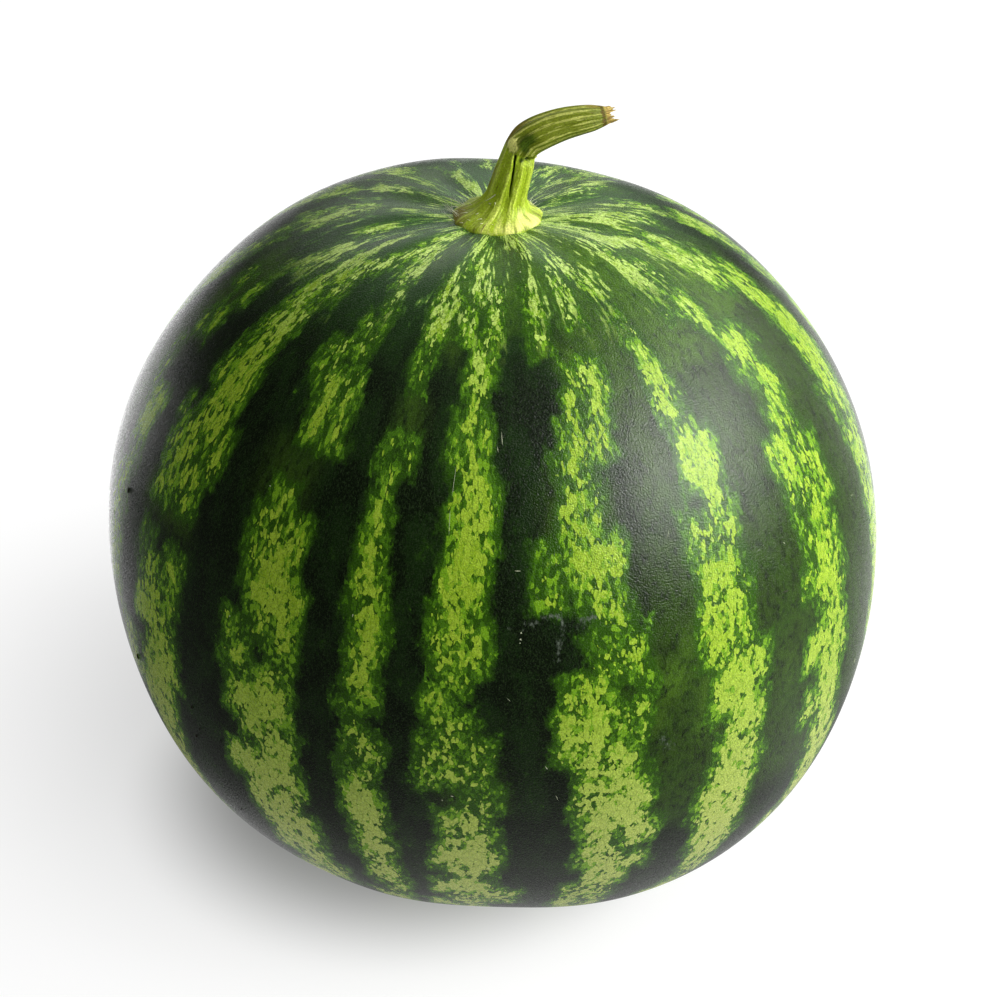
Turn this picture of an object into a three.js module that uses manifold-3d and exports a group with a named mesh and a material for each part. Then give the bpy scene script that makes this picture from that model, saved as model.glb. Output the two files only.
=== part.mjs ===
// A round striped watermelon, as picked, with the kinked piece of vine stalk that it was cut with.
// Millimetres, +Z up. The fruit stands on its blossom end. The origin is at table height, in the
// middle of the object's box, so every point of the object has Z of 0 or more.

import * as THREE from "three";
import Module from "manifold-3d";

const wasm = await Module();
wasm.setup();

// ---- Driving dimensions ----

// The fruit is a slightly squared ellipsoid about its equator's centre.
const FRUIT_RADIUS = 125;
const CROWN_HEIGHT = 124.6; // equator to crown, before the dimple that the stalk grows from
const BASE_DEPTH = 121; // equator to the blossom end, before it is flattened
const REST_DEPTH = 119.4; // equator to table: what lies lower is the flat spot
const SQUARENESS = 2.12; // 2 is a true ellipsoid
const CROWN_DIMPLE = { depth: 6.4, width: 30 };
const CROWN_LEAN = { x: 2.2, y: -1.2, spread: 25 }; // the crown sits this far off the equator's axis

// The skin runs over ten low lobes, which deepen into short flutes round the stalk.
const LOBES = { count: 10, body: 0.35, flute: 0.8, fluteAt: 15, fluteSpread: 8 };

// Where the fruit grew fuller or flatter: azimuth and elevation in degrees, height in mm, spread in degrees.
const SWELLINGS = [
  { azimuth: 172, elevation: 13, height: 2.3, spread: 26 },
  { azimuth: 126, elevation: 52, height: 1.3, spread: 22 },
  { azimuth: 77, elevation: 57, height: -1.5, spread: 18 },
  { azimuth: 0, elevation: 0, height: 2.4, spread: 30 },
  { azimuth: -24, elevation: -33, height: 4.1, spread: 26 },
  { azimuth: -53, elevation: -52, height: 3, spread: 18 },
  { azimuth: -86, elevation: -58, height: -2.9, spread: 20 },
  { azimuth: -143, elevation: -44, height: -1, spread: 26 },
  { azimuth: -60, elevation: 0, height: 1.2, spread: 40 },
  { azimuth: 120, elevation: 0, height: 1.2, spread: 40 },
];

// The blossom scar is a shallow pit in the flat spot with a corky button in it.
const SCAR = { radius: 9, depth: 2.6, buttonRadius: 3.6, buttonHeight: 1.5 };

// Rings of the fruit's mesh, by angle from the crown: finer at the crown and round the flat spot.
const FRUIT_SIDES = 80;
const FRUIT_BANDS = [
  { to: 12, step: 2 },
  { to: 36, step: 3 },
  { to: 160, step: 4 },
  { to: 168, step: 2 },
  { to: 178.8, step: 1.2 },
];

// The stalk from its root to its torn end, in mm from the middle of its foot at the skin.
// lean is the angle from upright and turn its compass direction from +X, both in degrees;
// across is the half width in the plane of the bend, deep the half width square to it.
const STALK = [
  { x: 0, y: 0, z: -4.8, lean: 0, turn: 0, across: 8.6, deep: 8.6 },
  { x: 0, y: 0, z: -2.8, lean: 0, turn: 0, across: 12.6, deep: 12.3 },
  { x: 0, y: 0, z: -0.7, lean: 0, turn: 0, across: 14, deep: 13.6 },
  { x: 0, y: 0, z: 0.5, lean: 0, turn: 0, across: 13.4, deep: 13 },
  { x: 0.5, y: 0, z: 1.6, lean: 1, turn: 0, across: 11.3, deep: 11 },
  { x: 1.2, y: 0, z: 3, lean: 3, turn: 0, across: 9, deep: 8.8 },
  { x: 2, y: 0, z: 4.8, lean: 6, turn: 0, across: 7.3, deep: 7.2 },
  { x: 2.7, y: 0, z: 7, lean: 9, turn: 0, across: 6.3, deep: 6.3 },
  { x: 3.7, y: 0, z: 10.5, lean: 12, turn: 0, across: 5.9, deep: 5.9 },
  { x: 4.8, y: 0, z: 14.5, lean: 13, turn: 0, across: 5.7, deep: 5.7 },
  { x: 5.8, y: 0, z: 18, lean: 14, turn: 0, across: 5.4, deep: 5.4 },
  { x: 6.5, y: 0, z: 20.8, lean: 19, turn: 2, across: 5.1, deep: 5.1 },
  { x: 7.5, y: 0.1, z: 23.4, lean: 32, turn: 5, across: 5, deep: 5.2 },
  { x: 9.5, y: 0.4, z: 25.9, lean: 50, turn: 8, across: 5.3, deep: 5.5 },
  { x: 12.8, y: 1, z: 27.9, lean: 61, turn: 11, across: 5.3, deep: 5.4 },
  { x: 16.8, y: 1.8, z: 29.4, lean: 69, turn: 11, across: 5.1, deep: 5.1 },
  { x: 20.9, y: 2.6, z: 30.5, lean: 75, turn: 11, across: 4.8, deep: 4.8 },
  { x: 25.2, y: 3.4, z: 31.2, lean: 80, turn: 11, across: 4.4, deep: 4.5 },
  { x: 29.2, y: 4.2, z: 31.6, lean: 81, turn: 11, across: 3.9, deep: 4 },
  { x: 32.3, y: 4.9, z: 31.9, lean: 80, turn: 11, across: 3.1, deep: 3.3 },
  { x: 34.1, y: 5.2, z: 32.1, lean: 80, turn: 11, across: 2.5, deep: 2.7 },
];
const STALK_SIDES = 45;
const STALK_CROWDING = 0.45; // how much closer the sides stand at the slit than on average
const STALK_STEPS = 2; // rings from one station to the next
const STALK_FOOT_RADIUS = 14;
const STALK_RIBS = { count: 9, phase: 18, depth: 0.055 };

// The kink cracked the stalk open: a slit down its near side, from one station to another.
// It stays upright while the stalk leans, so its angle round the stalk changes on the way.
const SLIT = { from: 7.5, to: 11.25, depth: 2.2, bottomAngle: 5, topAngle: -20, spread: 3.5 };

// Dents and bulges of the buckled skin: station, angle round the stalk, height in mm and their spreads.
const BUCKLES = [
  { station: 11.1, angle: 40, height: -1.9, length: 0.5, width: 28 },
  { station: 12.1, angle: -38, height: 0.9, length: 0.55, width: 30 },
  { station: 11.6, angle: 80, height: 0.7, length: 0.35, width: 24 },
  { station: 12.9, angle: 25, height: -0.9, length: 0.7, width: 30 },
];

// Torn fibres round the open end: angle, how far they stand past the last station, spread in degrees.
const FIBRES = [
  { angle: 205, reach: 1.7, spread: 26 },
  { angle: 292, reach: 2, spread: 30 },
  { angle: 118, reach: 1, spread: 22 },
  { angle: 40, reach: 2.6, spread: 20 },
];
const TORN_HOLLOW = 1.2;

// The fruit's socket stands this far off the root of the stalk.
const GAP = 0.3;
const SOCKET_TOP = 8; // station at which the socket's cutter ends, well above the skin

// ---- Helpers ----

const radians = THREE.MathUtils.degToRad;

// A bump of height 1 that fades with distance.
const bump = (distance, spread) => Math.exp(-((distance / spread) ** 2));

// Difference between two angles in degrees, from 0 to 180.
const angleBetween = (a, b) => Math.abs(((((a - b + 180) % 360) + 360) % 360) - 180);

function direction(azimuth, elevation) {
  const flat = Math.cos(radians(elevation));
  return new THREE.Vector3(
    flat * Math.cos(radians(azimuth)),
    flat * Math.sin(radians(azimuth)),
    Math.sin(radians(elevation)),
  );
}

// Closes a stack of rings, listed upwards and each running anticlockwise, with a point at each end.
function loft(bottom, rings, top) {
  const sides = rings[0].length;
  const points = [bottom, ...rings.flat(), top];
  const last = points.length - 1;
  const at = (ring, side) => 1 + ring * sides + (side % sides);
  const index = [];
  for (let side = 0; side < sides; side += 1) {
    index.push(0, at(0, side + 1), at(0, side));
    index.push(last, at(rings.length - 1, side), at(rings.length - 1, side + 1));
    for (let ring = 0; ring + 1 < rings.length; ring += 1) {
      const [a, b] = [at(ring, side), at(ring, side + 1)];
      const [c, d] = [at(ring + 1, side + 1), at(ring + 1, side)];
      index.push(a, b, c, a, c, d);
    }
  }
  return new wasm.Manifold(
    new wasm.Mesh({
      numProp: 3,
      vertProperties: new Float32Array(points.flatMap((p) => [p.x, p.y, p.z])),
      triVerts: new Uint32Array(index),
    }),
  );
}

function meshOf(solid, name, colour, roughness) {
  const { vertProperties, triVerts } = solid.getMesh();
  const geometry = new THREE.BufferGeometry();
  geometry.setAttribute("position", new THREE.BufferAttribute(vertProperties, 3));
  geometry.setIndex(new THREE.BufferAttribute(triVerts, 1));
  geometry.computeVertexNormals();
  const material = new THREE.MeshStandardMaterial({ color: colour, roughness, metalness: 0 });
  const mesh = new THREE.Mesh(geometry, material);
  mesh.name = name;
  return mesh;
}

// ---- Fruit ----

const swellingDirections = SWELLINGS.map((s) => direction(s.azimuth, s.elevation));

// How far the swellings lift the skin in this direction from the equator's centre.
function swelling(towards) {
  return SWELLINGS.reduce((sum, { height, spread }, i) => {
    const away = THREE.MathUtils.radToDeg(towards.angleTo(swellingDirections[i]));
    return sum + height * bump(away, spread);
  }, 0);
}

// The lobes stand out on the sides, the flutes round the stalk.
function lobe(polar, azimuth) {
  const { count, body, flute, fluteAt, fluteSpread } = LOBES;
  const height = body * Math.sin(radians(polar)) ** 2 + flute * bump(polar - fluteAt, fluteSpread);
  return height * Math.cos(count * radians(azimuth));
}

// The pit and button of the blossom scar, as a height over the table.
function scarHeight(radius) {
  if (radius >= SCAR.radius) return 0;
  const pit = (SCAR.depth * (1 + Math.cos((Math.PI * radius) / SCAR.radius))) / 2;
  return pit - SCAR.buttonHeight * bump(radius, SCAR.buttonRadius / 1.4);
}

// A point of the skin: polar is the angle from the crown, azimuth the compass angle from +X.
function skin(polar, azimuth) {
  const towards = direction(azimuth, 90 - polar);
  const height = polar < 90 ? CROWN_HEIGHT : BASE_DEPTH;
  const sideways = Math.sin(radians(polar)) / FRUIT_RADIUS;
  const upright = Math.abs(Math.cos(radians(polar))) / height;
  const egg = (sideways ** SQUARENESS + upright ** SQUARENESS) ** (-1 / SQUARENESS);
  const point = towards.clone().multiplyScalar(egg + swelling(towards) + lobe(polar, azimuth));
  const radius = Math.hypot(point.x, point.y);
  if (point.z > 0) point.z -= CROWN_DIMPLE.depth * bump(radius, CROWN_DIMPLE.width);
  point.x += CROWN_LEAN.x * bump(polar, CROWN_LEAN.spread);
  point.y += CROWN_LEAN.y * bump(polar, CROWN_LEAN.spread);
  point.z = Math.max(point.z + REST_DEPTH, 0);
  if (polar > 90) point.z += scarHeight(radius);
  return point;
}

function fruitSolid() {
  const polars = [];
  let polar = 0;
  for (const { to, step } of FRUIT_BANDS) {
    while (polar < to - step / 2) {
      polar += step;
      polars.push(polar);
    }
  }
  const rings = polars.reverse().map((angle) =>
    Array.from({ length: FRUIT_SIDES }, (_, side) => skin(angle, (360 * side) / FRUIT_SIDES)),
  );
  return loft(skin(180, 0), rings, skin(0, 0));
}

// ---- Stalk ----

// The middle of the stalk's foot: on the crown's axis, at the height of the skin under its rim.
function stalkSeat() {
  const polar = THREE.MathUtils.radToDeg(Math.atan2(STALK_FOOT_RADIUS, CROWN_HEIGHT));
  const around = [0, 90, 180, 270].map((azimuth) => skin(polar, azimuth));
  const height = around.reduce((sum, p) => sum + p.z, 0) / around.length;
  return new THREE.Vector3(CROWN_LEAN.x, CROWN_LEAN.y, height);
}

// The stalk's measures at a station, whole or between two, on a smooth curve through all of them.
function stalkAt(station) {
  const i = Math.min(Math.floor(station), STALK.length - 2);
  const t = station - i;
  const [before, from, to, after] = [i - 1, i, i + 1, i + 2].map(
    (n) => STALK[THREE.MathUtils.clamp(n, 0, STALK.length - 1)],
  );
  const smooth = (key) => {
    const [p, a, b, n] = [before[key], from[key], to[key], after[key]];
    const bend = 2 * p - 5 * a + 4 * b - n;
    return (2 * a + (b - p) * t + bend * t * t + (n - p + 3 * (a - b)) * t * t * t) / 2;
  };
  return Object.fromEntries(Object.keys(from).map((key) => [key, smooth(key)]));
}

// How far up the slit a station is, from 0 to 1, held at the ends, and the slit's angle there.
const alongSlit = (station) => THREE.MathUtils.clamp((station - SLIT.from) / (SLIT.to - SLIT.from), 0, 1);
const slitAngle = (station) => THREE.MathUtils.lerp(SLIT.bottomAngle, SLIT.topAngle, alongSlit(station));

// How far the slit, dents and bulges move the stalk's surface in or out.
function buckle(station, angle) {
  const lifts = BUCKLES.map(
    (b) => b.height * bump(station - b.station, b.length) * bump(angleBetween(angle, b.angle), b.width),
  );
  const along = alongSlit(station);
  if (along < 1) {
    const openness = Math.sqrt(along);
    lifts.push(-SLIT.depth * openness * bump(angleBetween(angle, slitAngle(station)), SLIT.spread));
  }
  return lifts.reduce((sum, lift) => sum + lift, 0);
}

// One ring of the stalk, set off by grow from the true surface.
function stalkRing(station, seat, grow) {
  const { x, y, z, lean, turn, across, deep } = stalkAt(station);
  const along = direction(turn, 90 - lean);
  const near = new THREE.Vector3(0, -1, 0).projectOnPlane(along).normalize();
  const under = new THREE.Vector3().crossVectors(along, near);
  const centre = new THREE.Vector3(x, y, z).add(seat);
  const isEnd = station === STALK.length - 1;
  const ribDepth = STALK_RIBS.depth * THREE.MathUtils.smoothstep(station, 0, 7);
  return Array.from({ length: STALK_SIDES }, (_, side) => {
    const even = (2 * Math.PI * side) / STALK_SIDES;
    const angle = slitAngle(station) + THREE.MathUtils.radToDeg(even - STALK_CROWDING * Math.sin(even));
    const ribs = 1 + ribDepth * Math.cos(STALK_RIBS.count * radians(angle - STALK_RIBS.phase));
    const lift = buckle(station, angle) + grow;
    const point = centre.clone();
    point.addScaledVector(near, (deep * ribs + lift) * Math.cos(radians(angle)));
    point.addScaledVector(under, (across * ribs + lift) * Math.sin(radians(angle)));
    if (isEnd) {
      const reach = FIBRES.reduce((sum, f) => sum + f.reach * bump(angleBetween(angle, f.angle), f.spread), 0);
      point.addScaledVector(along, reach);
    }
    return point;
  });
}

// The stalk from its root up to the given station, closed there.
function stalkSolid(seat, lastStation, grow, closing) {
  const rings = [];
  for (let n = 0; n <= lastStation * STALK_STEPS; n += 1) {
    rings.push(stalkRing(n / STALK_STEPS, seat, grow));
  }
  const root = stalkAt(0);
  const end = stalkAt(lastStation);
  const bottom = new THREE.Vector3(root.x, root.y, root.z).add(seat);
  const top = new THREE.Vector3(end.x, end.y, end.z).add(seat);
  top.addScaledVector(direction(end.turn, 90 - end.lean), closing);
  if (grow > 0) {
    bottom.z -= grow;
    rings[0].forEach((p) => p.setZ(p.z - grow));
  }
  return loft(bottom, rings, top);
}

// ---- Object ----

const seat = stalkSeat();
const stalk = stalkSolid(seat, STALK.length - 1, 0, -TORN_HOLLOW);
const socket = stalkSolid(seat, SOCKET_TOP, GAP, GAP);
const fruit = fruitSolid().subtract(socket);

const watermelon = new THREE.Group();
watermelon.add(meshOf(fruit, "fruit", 0x2c5a1e, 0.38));
watermelon.add(meshOf(stalk, "stalk", 0x93a83c, 0.6));

// The middle of the box goes over the origin.
const middle = new THREE.Box3().setFromObject(watermelon).getCenter(new THREE.Vector3());
watermelon.position.set(-middle.x, -middle.y, 0);

export default watermelon;
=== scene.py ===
"""A round striped watermelon with the kinked piece of stalk that it was cut with, on a pale table."""

import math

import bpy
import numpy as np
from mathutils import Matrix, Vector


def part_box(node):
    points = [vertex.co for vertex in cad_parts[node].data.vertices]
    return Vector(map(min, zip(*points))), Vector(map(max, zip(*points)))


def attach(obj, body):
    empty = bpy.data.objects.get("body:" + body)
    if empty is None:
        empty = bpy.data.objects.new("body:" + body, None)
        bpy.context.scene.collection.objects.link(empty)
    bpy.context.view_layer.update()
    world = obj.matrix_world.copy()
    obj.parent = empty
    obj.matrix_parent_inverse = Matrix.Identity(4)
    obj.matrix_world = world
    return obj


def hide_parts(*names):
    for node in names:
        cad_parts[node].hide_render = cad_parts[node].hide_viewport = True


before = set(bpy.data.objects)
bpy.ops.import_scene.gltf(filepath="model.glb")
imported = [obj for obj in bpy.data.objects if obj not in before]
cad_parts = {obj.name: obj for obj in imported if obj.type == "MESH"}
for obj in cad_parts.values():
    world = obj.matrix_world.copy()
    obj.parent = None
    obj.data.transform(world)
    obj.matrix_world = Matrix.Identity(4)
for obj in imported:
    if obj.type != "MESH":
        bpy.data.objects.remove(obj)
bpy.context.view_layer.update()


# ---- Rind: the skin's shape ----
# The whole skin of the fruit, grown as one piece: a slightly squared ball with a few fuller and flatter
# places, ten low lobes, a dimple round the stalk, and a flat spot with the corky blossom scar below.

MM = 0.001
SKIN_RADIUS = 125
CROWN_HEIGHT = 124.6
BASE_DEPTH = 121
EQUATOR_HEIGHT = 119.4
SQUARENESS = 2.12
DIMPLE_DEPTH = 6.4
DIMPLE_WIDTH = 30
CROWN_LEAN = (2.2, -1.2)
CROWN_LEAN_SPREAD = 25
LOBE_COUNT = 10
LOBE_HEIGHT = 0.35
FLUTE_HEIGHT = 0.8
FLUTE_AT = 15
FLUTE_SPREAD = 8
SCAR_RADIUS = 9
SCAR_DEPTH = 2.6
BUTTON_RADIUS = 3.6
BUTTON_HEIGHT = 1.5

# Fuller and flatter places: azimuth and elevation in degrees, height in mm, spread in degrees.
SWELLINGS = [
    (172, 13, 2.3, 26), (126, 52, 1.3, 22), (77, 57, -1.5, 18), (0, 0, 2.4, 30), (-24, -33, 4.1, 26),
    (-53, -52, 3.0, 18), (-86, -58, -2.9, 20), (-143, -44, -1.0, 26), (-60, 0, 1.2, 40), (120, 0, 1.2, 40),
]


def fade(distance, spread):
    """1 at no distance, falling smoothly to 0 well past the spread."""
    return np.exp(-((distance / spread) ** 2))


def sine(degrees):
    return np.sin(np.radians(degrees))


def cosine(degrees):
    return np.cos(np.radians(degrees))


def on_column(radius, angle, height):
    """Points on a round column, by the compass angle from +X in degrees."""
    return np.stack([radius * cosine(angle), radius * sine(angle), height], -1)


def direction(polar, azimuth):
    """A direction by its angle from straight up and its compass angle from +X, in degrees."""
    return on_column(sine(polar), azimuth, cosine(polar))


def skin_points(polar, azimuth):
    """Points of the skin in mm, by the angle from the crown and the compass angle from +X, in degrees."""
    towards = direction(polar, azimuth)
    height = np.where(polar < 90, CROWN_HEIGHT, BASE_DEPTH)
    sideways = np.abs(sine(polar)) / SKIN_RADIUS
    upright = np.abs(cosine(polar)) / height
    reach = (sideways ** SQUARENESS + upright ** SQUARENESS) ** (-1 / SQUARENESS)
    for compass, up, rise, spread in SWELLINGS:
        away = np.degrees(np.arccos(np.clip(towards @ direction(90 - up, compass), -1, 1)))
        reach = reach + rise * fade(away, spread)
    lobes = LOBE_HEIGHT * sine(polar) ** 2 + FLUTE_HEIGHT * fade(polar - FLUTE_AT, FLUTE_SPREAD)
    points = towards * (reach + lobes * cosine(LOBE_COUNT * azimuth))[..., None]
    radius = np.hypot(points[..., 0], points[..., 1])
    points[..., 2] -= np.where(points[..., 2] > 0, DIMPLE_DEPTH * fade(radius, DIMPLE_WIDTH), 0)
    lean = fade(polar, CROWN_LEAN_SPREAD)
    points[..., 0] += CROWN_LEAN[0] * lean
    points[..., 1] += CROWN_LEAN[1] * lean
    points[..., 2] = np.maximum(points[..., 2] + EQUATOR_HEIGHT, 0)
    pit = SCAR_DEPTH * (1 + np.cos(np.pi * np.minimum(radius / SCAR_RADIUS, 1))) / 2
    button = BUTTON_HEIGHT * fade(radius, BUTTON_RADIUS / 1.4) * (radius < SCAR_RADIUS)
    points[..., 2] += np.where(polar > 90, pit - button, 0)
    return points


SKIN_SIDES = 500
SKIN_RINGS = 197
polars = np.linspace(0, 180, SKIN_RINGS + 2)[1:-1]
azimuths = np.arange(SKIN_SIDES) * 360 / SKIN_SIDES
polar_grid, azimuth_grid = np.meshgrid(polars, azimuths, indexing="ij")
skin = skin_points(polar_grid, azimuth_grid)
crown_point = skin_points(np.array([0.0]), np.array([0.0]))[0]
blossom_point = skin_points(np.array([180.0]), np.array([0.0]))[0]

# The fruit stands where the frame's fruit stands: its box has the same middle.
fruit_low, fruit_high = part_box("fruit")
skin_middle = (skin.reshape(-1, 3).min(0) + skin.reshape(-1, 3).max(0)) / 2
frame_shift = np.array([(fruit_low.x + fruit_high.x) / 2 / MM - skin_middle[0],
                        (fruit_low.y + fruit_high.y) / 2 / MM - skin_middle[1], 0])


def tube_piece(name, tubes):
    """A piece made of closed tubes: for each, a start point, rings (ring, side, xyz) and an end point, in mm.

    Seen from the start, each ring runs anticlockwise.
    """
    points = []
    faces = []
    for start, rings, end in tubes:
        sides = rings.shape[1]
        first = len(points) + 1
        points.append(start)
        points.extend(rings.reshape(-1, 3))
        points.append(end)
        last = len(points) - 1
        for i in range(sides):
            j = (i + 1) % sides
            faces.append((first - 1, first + i, first + j))
            for a in range(first, last - sides, sides):
                faces.append((a + i, a + i + sides, a + j + sides, a + j))
            faces.append((last, last - sides + j, last - sides + i))
    mesh = bpy.data.meshes.new(name)
    mesh.from_pydata(((np.array(points) + frame_shift) * MM).tolist(), [], faces)
    mesh.polygons.foreach_set("use_smooth", np.ones(len(mesh.polygons), bool))
    piece = bpy.data.objects.new(name, mesh)
    bpy.context.scene.collection.objects.link(piece)
    return piece


def paint(piece, name, start, grid, end):
    """Stores one number, or three, for every point of a one-tube piece, as a named attribute."""
    rows = grid.reshape(grid.shape[0] * grid.shape[1], -1)
    values = np.concatenate([np.atleast_1d(start)[None], rows, np.atleast_1d(end)[None]])
    if values.shape[1] == 3:
        attribute = piece.data.attributes.new(name, "FLOAT_VECTOR", "POINT")
        attribute.data.foreach_set("vector", values.astype(np.float32).ravel())
    else:
        attribute = piece.data.attributes.new(name, "FLOAT", "POINT")
        attribute.data.foreach_set("value", values.astype(np.float32).ravel())


rind = tube_piece("rind", [(crown_point, skin, blossom_point)])


# ---- Rind: where the stripes lie ----
# The stripes are pigment in the skin. Each is a chain of pale patches inside a soft band of mid green.
# A patch is left, right, top, bottom and strength: azimuths from the front, positive to the right, and
# angles from the crown, in degrees. Below a strength of about 0.6 only scattered bits of it show.

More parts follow.
